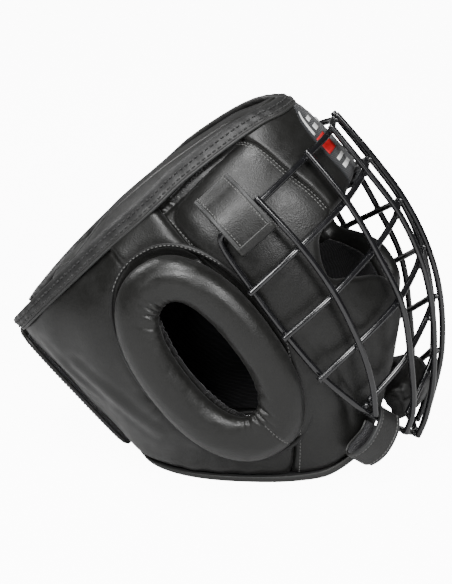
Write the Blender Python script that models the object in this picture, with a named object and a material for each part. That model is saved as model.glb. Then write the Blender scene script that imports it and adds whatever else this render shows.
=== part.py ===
"""Padded boxing headgear with a wire face cage.

The headgear rests on its jaw edges, so the head axis leans back by TILT. Shapes are laid out in
head coordinates, in millimetres: x across the head, f forward and s up the head, with the origin
midway between the ears. world() turns them into metres. The face looks towards -Y.
"""
import math

import bmesh
import bpy
from mathutils import Vector

TILT = math.radians(32)        # lean of the head axis at rest
EAR_HEIGHT = 110.5             # ear centre above the table
EAR_SETBACK = 1.3              # ear centre behind the middle of the whole object
TABLE_FLAT = 0.0               # height of the table under the jaw binding

# The padded shell: half width, front and back of its horizontal sections, against height s.
HALF_WIDTH = [(-135, 60), (-118, 66), (-100, 70), (-50, 85), (0, 90), (40, 89), (75, 83), (105, 66),
              (130, 46)]
FRONT = [(-135, 76), (-118, 90), (-100, 101), (-85, 112), (-50, 130), (0, 140), (40, 146),
         (75, 142), (105, 134), (130, 116)]
BACK = [(-135, -108), (-100, -113), (-50, -119.5), (0, -126), (40, -131), (75, -135),
        (105, -139), (130, -140)]
ROUNDNESS = 2.2                # superellipse power of each section

# Edges of the shell, with the angle t measured in degrees from the middle of the face.
TOP_EDGE = [(0, 115.5), (17, 117.5), (30, 121), (48, 122.5), (69, 121), (81, 117), (97, 111.5),
            (121, 102.5), (150, 92.5), (165, 89.5), (200, 88)]
JAW_EDGE = [(40, -129), (52, -131.5), (65, -134), (75, -134.5), (83, -134), (92, -132), (100, -129),
            (120, -110), (142, -92), (152, -83), (158, -74), (165, -66), (176, -57), (200, -57)]
SIDE_FRONT = [(-130, 93), (-121, 92.5), (-94, 86), (-70, 82.5), (-48, 79), (-20, 76), (0, 76),
              (66, 80.5), (120, 81)]
TEMPLE_FRONT = [(0, 48), (11, 47.4), (22, 45.2), (27, 43), (31, 38.5), (35, 35), (56, 36),
                (74, 38), (88, 39.3), (102, 40.4), (124, 42)]
CHEEK_FRONT = [(-130, 52), (-113, 40), (-90, 29), (-73, 22), (-62, 17), (-51, 14.5), (-38, 18),
               (-29, 22.5), (-22, 29), (-18, 34), (-12, 40), (-6, 46), (0, 48)]
BROW_EDGE = [(0, 40), (14, 38), (24, 33.5), (40, 33)]
SIDE_REAR = 174.0              # the side panels stop short of the middle of the back
SEAM = 0.9                     # degrees left free on each side of a seam
BINDING_HEIGHT = 4.0
PANEL_RAISE = 6.0              # the panels end this far above the jaw edge

# Layers of the padding.
COVER = 1.5
GAP = 0.3
SIDE_FOAM = 13.0
FACE_FOAM = 17.0
BROW_FOAM = 28.0
CROWN_FOAM = 12.0
LINING = 1.2
EDGE_FOAM = 4.0                # the foam thins to this at the top edge

# Ear openings and the pads around them.
EAR_HOLE = (-3.0, 0.0, 19.0, 51.0)     # centre f and s, half sizes
EAR_PAD = (-4.5, -3.0, 53.5, 86.5)
EAR_PAD_RISE = 17.0

# Face cage: x, f and s of the welded joints, from the middle outwards.
WIRE = 4.7
LIFT = WIRE + 0.9              # the upright wires lie this far outside the cross wires
HOOP_END = 4.2                 # the cross wires end outside the rim
HOOPS = {
    "brow": [(0, 154.5, 42), (21, 149, 39), (51, 130.5, 35), (82, 93.5, 32), (94.5, 53, 27)],
    "eye": [(0, 156, 3), (21, 150.5, -1), (51, 127.5, -6), (80, 93, -10), (94.5, 54, -13)],
    "nose": [(0, 151, -36), (21, 143.5, -41), (51, 121, -48), (77, 86, -51), (88.5, 56, -54)],
    "mouth": [(0, 138.5, -73), (20, 128, -79), (48, 103, -88), (68, 69, -94.5)],
    "chin": [(0, 116.5, -110), (18, 104.5, -117), (40, 80, -129)],
}
RIM_TOP = [(0, 150.5, 80), (21, 146, 78), (49, 127, 77), (82, 88, 74), (89, 66, 71.5)]
RIM_SIDE = [(91, 54, 66), (92, 53, 27), (92, 54, -13), (86, 56, -54), (74, 61, -90)]
RIM_BOTTOM = [(68, 63, -101), (56, 66, -118), (40, 69, -136), (14, 68.5, -153.5), (0, 68.5, -158)]
UPRIGHTS = {
    "centre": [(0, 150.5, 80), (0, 154.5, 42), (0, 156, 3), (0, 151, -36), (0, 138.5, -73),
               (0, 116.5, -110), (0, 89, -139), (0, 67.5, -158)],
    "inner": [(21, 146, 79), (21, 149, 39), (21, 150.5, -1), (21, 143.5, -41), (20, 128, -79),
              (18, 104.5, -117), (16, 84, -141), (14, 68.5, -153.5)],
    "middle": [(49, 127, 78), (51, 130.5, 35), (51, 127.5, -6), (51, 121, -48), (48, 103, -88),
               (44, 85, -120), (40, 69, -136)],
    "outer": [(82, 88, 75), (82, 93.5, 32), (80, 93, -10), (77, 86, -51), (73, 77, -79),
              (67, 65, -102)],
}
UPRIGHT_CENTRE = (0, 20, -20)  # the uprights are lifted away from this point

# Straps round the cage rim: bar point, bar direction and outward normal, then paths (l, n).
STRAP_THICK = 2.0
STRAPS = {
    "upper": {
        "bar": (87.2, 73.2, 72.7), "along": (-0.301, 0.947, 0.108), "out": (0.87, 0.24, 0.43),
        "width": 31.0,
        "loop": [(-31, -7.3), (-20, -7.4), (-8, -7.4), (6, -7.6), (14, -7.2), (19.5, -4.5),
                 (19.5, -1.0), (16, 1.0)],
        "flap": [(15.4, 1.1), (9, 3.6), (0, 5.8), (-9, 6.2), (-18, 4.0), (-26, -0.8), (-31, -4.2)],
        "hook": [(-18.2, 2.0), (-25.15, -2.15), (-30.1, -5.5)],
    },
    "lower": {
        "bar": (55.8, 66.3, -117.8), "along": (-0.549, 0.137, -0.824), "out": (0.832, 0.0, -0.554),
        "width": 24.0,
        "loop": [(-8, -1.0), (-14, 4.0), (-21, 6.3), (-27, 8.3), (-31, 11.5), (-31.3, 15.2),
                 (-27.9, 17.5)],
        "flap": [(-27.2, 17.9), (-20, 18.6), (-12, 17), (-5, 13), (1, 8), (5, 2), (6.5, -4)],
        "hook": [(-12.6, 15.4), (-9.3, 13.7), (-5.9, 11.6)],
    },
}

# Rear closure: a flap sewn to the left side reaches round the back to the right side.
FLAP_RANGE = (163.0, 195.0)
FLAP_LOW = -44.0
FLAP_HIGH = 80.0

COLOURS = {
    "leather": (0.020, 0.020, 0.019, 1.0),
    "foam": (0.10, 0.10, 0.11, 1.0),
    "fabric": (0.030, 0.030, 0.032, 1.0),
    "hook_and_loop": (0.012, 0.012, 0.013, 1.0),
    "wire": (0.010, 0.010, 0.011, 1.0),
    "webbing": (0.050, 0.050, 0.053, 1.0),
}
ROUGHNESS = {"leather": 0.45, "foam": 0.9, "fabric": 0.85, "hook_and_loop": 0.95, "wire": 0.18,
             "webbing": 0.8}


def clear_scene():
    for obj in list(bpy.data.objects):
        bpy.data.objects.remove(obj, do_unlink=True)


def curve_value(stations, x):
    """A smooth curve through the stations (x, y), level beyond its ends."""
    if x <= stations[0][0]:
        return stations[0][1]
    if x >= stations[-1][0]:
        return stations[-1][1]
    i = max(k for k in range(len(stations) - 1) if stations[k][0] <= x)
    x0, y0 = stations[i]
    x1, y1 = stations[i + 1]
    slope = (y1 - y0) / (x1 - x0)
    before = stations[max(i - 1, 0)]
    after = stations[min(i + 2, len(stations) - 1)]
    m0 = (y1 - before[1]) / (x1 - before[0])
    m1 = (after[1] - y0) / (after[0] - x0)
    if slope == 0:
        m0 = m1 = 0.0
    else:
        m0 = slope * min(max(m0 / slope, 0.0), 3.0)
        m1 = slope * min(max(m1 / slope, 0.0), 3.0)
    u = (x - x0) / (x1 - x0)
    width = x1 - x0
    return ((2 * u ** 3 - 3 * u ** 2 + 1) * y0 + (u ** 3 - 2 * u ** 2 + u) * width * m0
            + (3 * u ** 2 - 2 * u ** 3) * y1 + (u ** 3 - u ** 2) * width * m1)


def smooth_path(points, steps=3):
    """Points on a smooth curve through the given ones (any number of coordinates)."""
    out = []
    count = len(points)
    for i in range(count - 1):
        p0, p1 = points[max(i - 1, 0)], points[i]
        p2, p3 = points[i + 1], points[min(i + 2, count - 1)]
        for k in range(steps):
            u = k / steps
            out.append(tuple(
                0.5 * (2 * b + (c - a) * u + (2 * a - 5 * b + 4 * c - d) * u ** 2
                       + (3 * b - a - 3 * c + d) * u ** 3)
                for a, b, c, d in zip(p0, p1, p2, p3)))
    out.append(tuple(float(v) for v in points[-1]))
    return out


def world(x, f, s):
    z = f * math.sin(TILT) + s * math.cos(TILT) + EAR_HEIGHT
    y = s * math.sin(TILT) - f * math.cos(TILT) + EAR_SETBACK
    return Vector((x, y, max(z, TABLE_FLAT))) / 1000.0


def section(s):
    front = curve_value(FRONT, s)
    back = curve_value(BACK, s)
    return curve_value(HALF_WIDTH, s), (front - back) / 2, (front + back) / 2


def signed_power(value):
    return math.copysign(abs(value) ** (2 / ROUNDNESS), value)


def shell_point(t, s, depth=0.0):
    """x, f and s of a point of the shell on the left side, depth mm below its outer face."""
    half_width, half_length, middle = section(s)
    t = math.radians(t)
    x = (half_width - depth) * signed_power(math.sin(t))
    f = middle + (half_length - depth) * signed_power(math.cos(t))
    return x, f, s


def shell_x(f, s):
    half_width, half_length, middle = section(s)
    ratio = min(abs(f - middle) / half_length, 1.0)
    return half_width * (1 - ratio ** ROUNDNESS) ** (1 / ROUNDNESS)


def jaw_edge(t, depth=0.0):
    """Height s of the jaw edge: its own line, or the table where that is higher."""
    s = curve_value(JAW_EDGE, t)
    for _ in range(6):
        f = shell_point(t, s, depth)[1]
        table = (TABLE_FLAT - EAR_HEIGHT - f * math.sin(TILT)) / math.cos(TILT)
        s = max(curve_value(JAW_EDGE, t), table)
    return s


def panel_at(panel, u, v):
    """t and s of a point of a panel with curved edges."""
    front, rear, low, high = panel
    t = 60.0
    s = 0.0
    for _ in range(14):
        s = low(t) + (high(t) - low(t)) * v
        t = front(s) + (rear(s) - front(s)) * u
    return t, s


def material(kind):
    mat = bpy.data.materials.get(kind) or bpy.data.materials.new(kind)
    mat.use_nodes = True
    shader = mat.node_tree.nodes["Principled BSDF"]
    shader.inputs["Base Color"].default_value = COLOURS[kind]
    shader.inputs["Roughness"].default_value = ROUGHNESS[kind]
    return mat


def finish_mesh(name, bm, kind, parent, origin=None):
    bmesh.ops.recalc_face_normals(bm, faces=bm.faces)
    if origin is not None:
        bmesh.ops.translate(bm, verts=bm.verts, vec=-origin)
    mesh = bpy.data.meshes.new(name)
    bm.to_mesh(mesh)
    bm.free()
    obj = bpy.data.objects.new(name, mesh)
    mesh.materials.append(material(kind))
    collection.objects.link(obj)
    obj.parent = parent
    if origin is not None:
        obj.location = origin - parent.location
    return obj


def slab(name, kind, nu, nv, point, parent, origin=None):
    """A closed body from point(u, v, inner), a grid of quads on its outer and inner faces."""
    bm = bmesh.new()
    grid = {}
    for inner in (0, 1):
        for j in range(nv + 1):
            for i in range(nu + 1):
                grid[inner, i, j] = bm.verts.new(point(i / nu, j / nv, inner))
    for j in range(nv):
        for i in range(nu):
            for inner in (0, 1):
                bm.faces.new([grid[inner, i, j], grid[inner, i + 1, j],
                              grid[inner, i + 1, j + 1], grid[inner, i, j + 1]])
    for i in range(nu):
        for j in (0, nv):
            bm.faces.new([grid[0, i, j], grid[0, i + 1, j], grid[1, i + 1, j], grid[1, i, j]])
    for j in range(nv):
        for i in (0, nu):
            bm.faces.new([grid[0, i, j], grid[0, i, j + 1], grid[1, i, j + 1], grid[1, i, j]])
    return finish_mesh(name, bm, kind, parent, origin)


def foam_share(v):
    """The padding is thin at its top edge and full lower down."""
    rise = min((1 - v) / 0.35, 1.0)
    return rise * rise * (3 - 2 * rise)


def layer_depths(layer, foam, share):
    full = EDGE_FOAM + (foam - EDGE_FOAM) * share
    if layer == "cover":
        return 0.0, COVER
    if layer == "foam":
        return COVER + GAP, COVER + GAP + full
    return COVER + 2 * GAP + full, COVER + 2 * GAP + full + LINING


def padded_panel(base, side, layers, panel, foam, nu, nv, tapered):
    made = []
    for layer in layers:
        kind = {"cover": "leather", "foam": "foam", "lining": "fabric"}[layer]

        def point(u, v, inner):
            t, s = panel_at(panel, u, v)
            share = foam_share(v) if tapered else 1.0
            depth = layer_depths(layer, foam, share)[inner]
            x, f, s = shell_point(t, s, depth)
            return world(side * x, f, s)

        suffix = "" if side == 0 else "_" + ("right" if side < 0 else "left")
        made.append(slab(base + suffix + "_" + layer, kind, nu, nv, point, root))
    return made


def ear_cutter(side):
    cf, cs, half_f, half_s = EAR_HOLE
    bm = bmesh.new()
    rings = []
    for x in (40, 130):
        rings.append([bm.verts.new(world(side * x, cf + half_f * math.cos(a),
                                         cs + half_s * math.sin(a)))
                      for a in (math.tau * k / 20 for k in range(20))])
    for k in range(20):
        n = (k + 1) % 20
        bm.faces.new([rings[0][k], rings[0][n], rings[1][n], rings[1][k]])
    bm.faces.new(rings[0])
    bm.faces.new(rings[1])
    bmesh.ops.recalc_face_normals(bm, faces=bm.faces)
    mesh = bpy.data.meshes.new("ear_cutter")
    bm.to_mesh(mesh)
    bm.free()
    cutter = bpy.data.objects.new("ear_cutter", mesh)
    cutters.objects.link(cutter)
    cutter.hide_render = True
    cutter.display_type = "WIRE"
    return cutter


def cut(obj, cutter):
    mod = obj.modifiers.new("ear opening", "BOOLEAN")
    mod.operation = "DIFFERENCE"
    mod.solver = "EXACT"
    mod.object = cutter


def side_panels(side):
    panel = (lambda s: curve_value(SIDE_FRONT, s) + SEAM, lambda s: SIDE_REAR,
             lambda t: jaw_edge(t) + PANEL_RAISE, lambda t: curve_value(TOP_EDGE, t))
    cutter = ear_cutter(side)
    for obj in padded_panel("side", side, ("cover", "foam", "lining"), panel, SIDE_FOAM, 11, 9,
                            True):
        cut(obj, cutter)


def face_panels(side):
    temple = (lambda s: curve_value(TEMPLE_FRONT, s) + SEAM,
              lambda s: curve_value(SIDE_FRONT, s) - SEAM,
              lambda t: 1.0, lambda t: curve_value(TOP_EDGE, t))
    padded_panel("temple", side, ("cover", "foam"), temple, FACE_FOAM, 5, 9, True)
    cheek = (lambda s: curve_value(CHEEK_FRONT, s), lambda s: curve_value(SIDE_FRONT, s) - SEAM,
             lambda t: jaw_edge(t) + PANEL_RAISE, lambda t: -1.0)
    padded_panel("cheek", side, ("cover", "foam", "lining"), cheek, FACE_FOAM, 6, 10, False)


def mirrored_panel(base, layers, reach, low, high, foam, nu, nv):
    """A panel across the middle of the face: u runs from the right side to the left."""
    for layer in layers:
        kind = {"cover": "leather", "foam": "foam", "lining": "fabric"}[layer]

        def point(u, v, inner):
            across = 2 * u - 1
            t = 20.0
            s = 0.0
            for _ in range(14):
                s = low(t) + (high(t) - low(t)) * v
                t = reach(s) * abs(across)
            depth = layer_depths(layer, foam, foam_share(v))[inner]
            x, f, s = shell_point(t, s, depth)
            return world(math.copysign(x, across), f, s)

        slab(base + "_" + layer, kind, nu, nv, point, root)


def forehead():
    def low(t):
        return curve_value(BROW_EDGE, t)

    def high(t):
        return curve_value(TOP_EDGE, t)

    mirrored_panel("forehead", ("cover", "foam", "lining"),
                   lambda s: curve_value(TEMPLE_FRONT, s) - SEAM, low, high, BROW_FOAM, 10, 7)

    reach = [(41, 16.5), (68, 18), (81, 17), (95, 15), (101, 11), (105, 6)]

    def patch(u, v, inner):
        s = 41 + 64 * v
        x, f, s = shell_point(curve_value(reach, s) * abs(2 * u - 1), s, (-1.7, -0.5)[inner])
        return world(math.copysign(x, 2 * u - 1), f, s)

    slab("brow_band", "webbing", 6, 8, patch, root)


def crown():
    dome = [(-66, 106), (-44, 113), (-22, 119.5), (18, 124.5), (63, 126), (87, 125.5), (106, 121)]
    rear_t = 128.0

    def edge(t):
        x, f, s = shell_point(t, curve_value(TOP_EDGE, t) - 5.0, 11.5)
        return x, f, s

    def point(layer):
        def place(u, v, inner):
            t = 26 + (rear_t - 26) * u
            x, f, s = edge(t)
            across = 2 * v - 1
            bulge = max(1 - across ** 2, 0.0) ** 0.7
            top = s + max(curve_value(dome, f) - s, 3.0) * bulge
            depth = layer_depths(layer, CROWN_FOAM, min(bulge * 1.3, 1.0))[inner]
            return world(x * across, f, top - depth)
        return place

    for layer, kind in (("cover", "leather"), ("foam", "foam")):
        slab("crown_" + layer, kind, 9, 8, point(layer), root)


def chin():
    def point(layer):
        def place(u, v, inner):
            across = 2 * u - 1
            s = -140 + 34 * v
            front = 104.5 - 24 * across ** 2 - 14 * max((-120 - s) / 20, 0.0) ** 2
            front -= 5 * max((s + 113) / 7, 0.0) ** 2
            depth = layer_depths(layer, 14.0, 1.0)[inner]
            half = 37.5 - 10 * max((-120 - s) / 20, 0.0)
            return world(half * across * (1 - depth / 40), front - depth, s)
        return place

    for layer, kind in (("cover", "leather"), ("foam", "foam")):
        slab("chin_" + layer, kind, 8, 5, point(layer), root)


def edge_bands(side, tag):
    def rim(u, v, inner):
        t = 5 + 158 * u
        s = curve_value(TOP_EDGE, t) - 8 + 9.5 * v
        x, f, s = shell_point(t, s, (-2.8, -0.6)[inner])
        return world(side * x, f, s)

    def jaw(u, v, inner):
        t = 64 + 102 * u
        depth = (-0.5, 13.0)[inner]
        x, f, s = shell_point(t, jaw_edge(t, depth), depth)
        x, f, s = shell_point(t, s + BINDING_HEIGHT * v, depth)
        return world(side * x, f, s)

    slab("top_binding_" + tag, "leather", 20, 1, rim, root)
    slab("jaw_binding_" + tag, "leather", 20, 1, jaw, root)


def ear_pad(side, tag):
    cf, cs, half_f, half_s = EAR_PAD
    hf, hs, hole_f, hole_s = EAR_HOLE
    profile = [(1.0, 1.6), (1.02, 6.0), (0.9, 13.0), (0.66, 16.6), (0.4, 16.4), (0.16, 11.5),
               (0.0, 1.6), (0.5, 1.6)]
    bm = bmesh.new()
    rows = []
    for k in range(28):
        a = math.tau * k / 28
        row = []
        for share, rise in profile:
            f = (hf + (cf - hf) * share) + (hole_f + (half_f - hole_f) * share) * math.cos(a)
            s = (hs + (cs - hs) * share) + (hole_s + (half_s - hole_s) * share) * math.sin(a)
            x = shell_x(f, s) + rise * EAR_PAD_RISE / 17.0
            row.append(bm.verts.new(world(side * x, f, s)))
        rows.append(row)
    for k in range(28):
        for j in range(len(profile)):
            n = (j + 1) % len(profile)
            m = (k + 1) % 28
            bm.faces.new([rows[k][j], rows[m][j], rows[m][n], rows[k][n]])
    finish_mesh("ear_pad_" + tag, bm, "leather", root)


def wire(name, points, cyclic=False):
    path = [world(*p) for p in points]
    if not cyclic:
        path = [Vector(p) for p in smooth_path([tuple(p) for p in path], 3)]
    curve = bpy.data.curves.new(name, "CURVE")
    curve.dimensions = "3D"
    curve.bevel_depth = WIRE / 2000
    curve.bevel_resolution = 1
    curve.use_fill_caps = True
    curve.materials.append(material("wire"))
    spline = curve.splines.new("POLY")
    spline.points.add(len(path) - 1)
    for i, p in enumerate(path):
        spline.points[i].co = (p.x, p.y, p.z, 1.0)
    spline.use_cyclic_u = cyclic
    obj = bpy.data.objects.new(name, curve)
    collection.objects.link(obj)
    obj.parent = root
    return obj


def mirrored(points):
    """The right side of a wire, then its middle, then the left side."""
    right = [(-x, f, s) for x, f, s in reversed(points) if x > 0]
    return right + list(points)


def lifted(points):
    out = []
    for p in points:
        away = Vector(p) - Vector((p[0] * 0.2, UPRIGHT_CENTRE[1], UPRIGHT_CENTRE[2]))
        away.normalize()
        out.append(tuple(Vector(p) + away * LIFT))
    return out


def cage():
    half = smooth_path(RIM_TOP + RIM_SIDE + RIM_BOTTOM, 2)
    rim = half + [(-x, f, s) for x, f, s in reversed(half) if x > 0.5]
    wire("cage_rim", rim, cyclic=True)
    for name, points in HOOPS.items():
        ends = list(points)
        if name in ("brow", "eye", "nose"):
            x, f, s = ends[-1]
            ends[-1] = (x + HOOP_END, f - 2, s)
        wire("cage_hoop_" + name, mirrored(ends))
    for name, points in UPRIGHTS.items():
        lift = lifted(points)
        if name == "centre":
            wire("cage_upright_centre", lift)
            continue
        wire("cage_upright_" + name + "_left", lift)
        wire("cage_upright_" + name + "_right", [(-x, f, s) for x, f, s in lift])


def ribbon(name, kind, path, thickness, width, frame, side, parent, origin=None):
    """A strap: a path in the plane (l, n) of frame, thickened and swept along the bar."""
    bar, along, down, out = frame
    fine = smooth_path(path, 2)
    edge = []
    for i, (l, n) in enumerate(fine):
        a = fine[max(i - 1, 0)]
        b = fine[min(i + 1, len(fine) - 1)]
        d = Vector((b[0] - a[0], b[1] - a[1])).normalized()
        edge.append(((l, n), (-d.y * thickness / 2, d.x * thickness / 2)))

    def point(u, v, inner):
        (l, n), (dl, dn) = edge[round(u * (len(edge) - 1))]
        sign = 1 if inner else -1
        p = bar + along * width * (v - 0.5) + down * (l + sign * dl) + out * (n + sign * dn)
        return world(side * p.x, p.y, p.z)

    return slab(name, kind, len(edge) - 1, 2, point, parent, origin)


def pivot(name, origin):
    empty = bpy.data.objects.new(name, None)
    empty.empty_display_size = 0.02
    empty.location = origin
    collection.objects.link(empty)
    empty.parent = root
    return empty


def cage_strap(which, side, tag):
    spec = STRAPS[which]
    bar = Vector(spec["bar"])
    along = Vector(spec["along"]).normalized()
    out = Vector(spec["out"]).normalized()
    down = along.cross(out).normalized()
    if which == "upper":
        down = -down if down.z > 0 else down
    else:
        down = -down if down.y < 0 else down
    frame = (bar, along, down, out)
    base = which + "_strap_" + tag
    ribbon(base + "_loop", "leather", spec["loop"], STRAP_THICK, spec["width"], frame, side, root)
    l, n = spec["flap"][0]
    hinge = bar + down * l + out * (n + STRAP_THICK / 2 + 0.2)
    origin = world(side * hinge.x, hinge.y, hinge.z)
    empty = pivot(base + "_hinge", origin)
    ribbon(base + "_flap", "leather", spec["flap"], STRAP_THICK, spec["width"], frame, side,
           empty, origin)
    ribbon(base + "_hook_pad", "hook_and_loop", spec["hook"], 0.9, spec["width"] - 6, frame, side,
           empty, origin)


def closure():
    def patch(t0, t1, low, high, outer, inner_depth):
        def place(u, v, inner):
            t = t0 + (t1 - t0) * u
            depth = (outer, inner_depth)[inner]
            x, f, s = shell_point(t, low + (high - low) * v, depth)
            return world(-x, f, s)
        return place

    slab("closure_loop_patch", "hook_and_loop", 4, 4,
         patch(164.5, 173.5, FLAP_LOW + 6, FLAP_HIGH - 6, -1.5, -0.6), root)
    slab("closure_flap_base", "leather", 3, 5, patch(196.4, 206, FLAP_LOW, FLAP_HIGH, -2.8, -0.6),
         root)
    low = shell_point(FLAP_RANGE[1], FLAP_LOW, -5.6)
    high = shell_point(FLAP_RANGE[1], FLAP_HIGH, -5.6)
    origin = (world(-low[0], low[1], low[2]) + world(-high[0], high[1], high[2])) / 2
    empty = pivot("closure_flap_hinge", origin)
    slab("closure_flap", "leather", 9, 6,
         patch(FLAP_RANGE[0], FLAP_RANGE[1], FLAP_LOW, FLAP_HIGH, -5.4, -3.1), empty, origin)
    slab("closure_hook_patch", "hook_and_loop", 4, 4,
         patch(165.5, 173, FLAP_LOW + 7, FLAP_HIGH - 7, -2.8, -1.8), empty, origin)


clear_scene()
collection = bpy.data.collections.new("headgear")
cutters = bpy.data.collections.new("cutters")
bpy.context.scene.collection.children.link(collection)
bpy.context.scene.collection.children.link(cutters)
root = bpy.data.objects.new("headgear", None)
collection.objects.link(root)

for side_sign, side_tag in ((-1, "right"), (1, "left")):
    side_panels(side_sign)
    face_panels(side_sign)
    edge_bands(side_sign, side_tag)
    ear_pad(side_sign, side_tag)
    cage_strap("upper", side_sign, side_tag)
    cage_strap("lower", side_sign, side_tag)
forehead()
crown()
chin()
cage()
closure()
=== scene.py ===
"""Looks for the padded boxing headgear: leather pads, stitching, straps and the enamelled cage.

Shapes are laid out as in the CAD, in head coordinates in millimetres: x across the head, f
forward and s up the head. t is the angle round the head, in degrees from the middle of the face.
side is -1 for the right half and 1 for the left half.
"""
import math

import bmesh
import bpy
import numpy as np
from mathutils import Matrix, Vector
from mathutils.bvhtree import BVHTree

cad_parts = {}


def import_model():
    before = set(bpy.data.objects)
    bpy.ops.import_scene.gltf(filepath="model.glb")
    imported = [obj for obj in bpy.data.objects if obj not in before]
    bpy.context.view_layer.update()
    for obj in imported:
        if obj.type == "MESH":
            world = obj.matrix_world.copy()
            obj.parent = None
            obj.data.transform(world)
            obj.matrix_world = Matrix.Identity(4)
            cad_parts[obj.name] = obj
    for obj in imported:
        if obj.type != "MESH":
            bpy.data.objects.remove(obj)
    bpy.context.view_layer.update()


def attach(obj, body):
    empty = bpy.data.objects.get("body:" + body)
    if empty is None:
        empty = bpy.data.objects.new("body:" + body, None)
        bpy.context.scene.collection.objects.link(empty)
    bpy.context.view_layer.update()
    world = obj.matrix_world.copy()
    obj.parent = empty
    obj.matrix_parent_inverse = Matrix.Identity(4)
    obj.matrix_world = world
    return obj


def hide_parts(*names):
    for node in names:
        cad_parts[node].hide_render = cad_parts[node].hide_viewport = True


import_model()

TILT = math.radians(32)
EAR_HEIGHT = 110.5
EAR_SETBACK = 1.3
# The shell's half width, front and back as (s, mm); its edges as (t, s) or (s, t).
HALF_WIDTH = [(-135, 60), (-118, 66), (-100, 70), (-50, 85), (0, 90), (40, 89), (75, 83), (105, 66),
              (130, 46)]
FRONT = [(-135, 76), (-118, 90), (-100, 101), (-85, 112), (-50, 130), (0, 140), (40, 146),
         (75, 142), (105, 134), (130, 116)]
BACK = [(-135, -108), (-100, -113), (-50, -119.5), (0, -126), (40, -131), (75, -135),
        (105, -139), (130, -140)]
ROUNDNESS = 2.2
TOP_EDGE = [(0, 115.5), (17, 117.5), (30, 121), (48, 122.5), (69, 121), (81, 117), (97, 111.5),
            (121, 102.5), (150, 92.5), (165, 89.5), (200, 88)]
JAW_EDGE = [(40, -129), (52, -131.5), (65, -134), (75, -134.5), (83, -134), (92, -132), (100, -129),
            (120, -110), (142, -92), (152, -83), (158, -74), (165, -66), (176, -57), (200, -57)]
SIDE_FRONT = [(-130, 93), (-121, 92.5), (-94, 86), (-70, 82.5), (-48, 79), (-20, 76), (0, 76),
              (66, 80.5), (120, 81)]
TEMPLE_FRONT = [(0, 48), (11, 47.4), (22, 45.2), (27, 43), (31, 38.5), (35, 35), (56, 36),
                (74, 38), (88, 39.3), (102, 40.4), (124, 42)]
CHEEK_FRONT = [(-130, 52), (-113, 40), (-90, 29), (-73, 22), (-62, 17), (-51, 14.5), (-38, 18),
               (-29, 22.5), (-22, 29), (-18, 34), (-12, 40), (-6, 46), (0, 48)]
BROW_EDGE = [(0, 40), (14, 38), (24, 33.5), (40, 33)]
PATCH_TOP = [(18, 116.6), (30, 116.2), (40, 116), (48, 115), (56, 113.6), (64.8, 110.9),
             (74.6, 106.5), (81, 104)]
SIDE_REAR = 174.0
# Thickness of the layers.
COVER = 1.5
GAP = 0.3
SIDE_FOAM = 13.0
FACE_FOAM = 17.0
BROW_FOAM = 28.0
LINING = 1.2
EDGE_FOAM = 4.0
QUILT_DEPTH = GAP + LINING + 0.5
JAW_EASE = 5.0
# Ovals as f and s of the middle and half sizes along f and s.
EAR_HOLE = (-3.0, 0.0, 19.0, 51.0)
EAR_PAD = (-4.5, -3.0, 53.5, 86.5)
FULLNESS = 2.25
FLANGE = (EAR_PAD[0], EAR_PAD[1], EAR_PAD[2] * 1.055, EAR_PAD[3] * 1.055)
RING_SEAM = 283.0
PANEL_HOLE = (-3.0, -1.0, 28.5, 63.5)
# Folds at the ear opening: middle angle, reach in degrees, folds in 80 degrees.
PUCKERS = ((110.0, 25.0, 8.0), (290.0, 28.0, 6.5))
# The cage: wire thickness, the uprights' lift over the hoops, and points (x, f, s) of the wires.
WIRE = 4.7
LIFT = WIRE + 0.9
HOOP_END = 4.2
HOOPS = {
    "brow": [(0, 154.5, 42), (21, 149, 39), (51, 130.5, 35), (82, 93.5, 32), (94.5, 53, 27)],
    "eye": [(0, 156, 3), (21, 150.5, -1), (51, 127.5, -6), (80, 93, -10), (94.5, 54, -13)],
    "nose": [(0, 151, -36), (21, 143.5, -41), (51, 121, -48), (77, 86, -51), (88.5, 56, -54)],
    "mouth": [(0, 138.5, -73), (20, 128, -79), (48, 103, -88), (68, 69, -94.5)],
    "chin": [(0, 116.5, -110), (18, 104.5, -117), (40, 80, -129)],
}
RIM_TOP = [(0, 150.5, 80), (21, 146, 78), (49, 127, 77), (82, 88, 74), (89, 66, 71.5)]
RIM_SIDE = [(91, 54, 66), (92, 53, 27), (92, 54, -13), (86, 56, -54), (74, 61, -90)]
RIM_BOTTOM = [(68, 63, -101), (56, 66, -118), (40, 69, -136), (14, 68.5, -153.5), (0, 68.5, -158)]
UPPER_HOOPS = [HOOPS[name] for name in ("brow", "eye", "nose")]
UPRIGHTS = {
    "centre": [(0, 150.5, 80), *(hoop[0] for hoop in HOOPS.values()), (0, 89, -139),
               (0, 67.5, -158)],
    "inner": [(21, 146, 79), *(hoop[1] for hoop in HOOPS.values()), (16, 84, -141),
              (14, 68.5, -153.5)],
    "middle": [(49, 127, 78), *(hoop[2] for hoop in UPPER_HOOPS), (48, 103, -88), (44, 85, -120),
               (40, 69, -136)],
    "outer": [(82, 88, 75), *(hoop[3] for hoop in UPPER_HOOPS), (73, 77, -79), (67, 65, -102)],
}
UPRIGHT_CENTRE = (0, 20, -20)
# Weld beads, in metres: half sizes, the gap between wires they bridge, the least space between.
WELD_SIZE = (0.0023, 0.0023, 0.0030)
WELD_REACH = 0.0078
WELD_APART = 0.016
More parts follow.
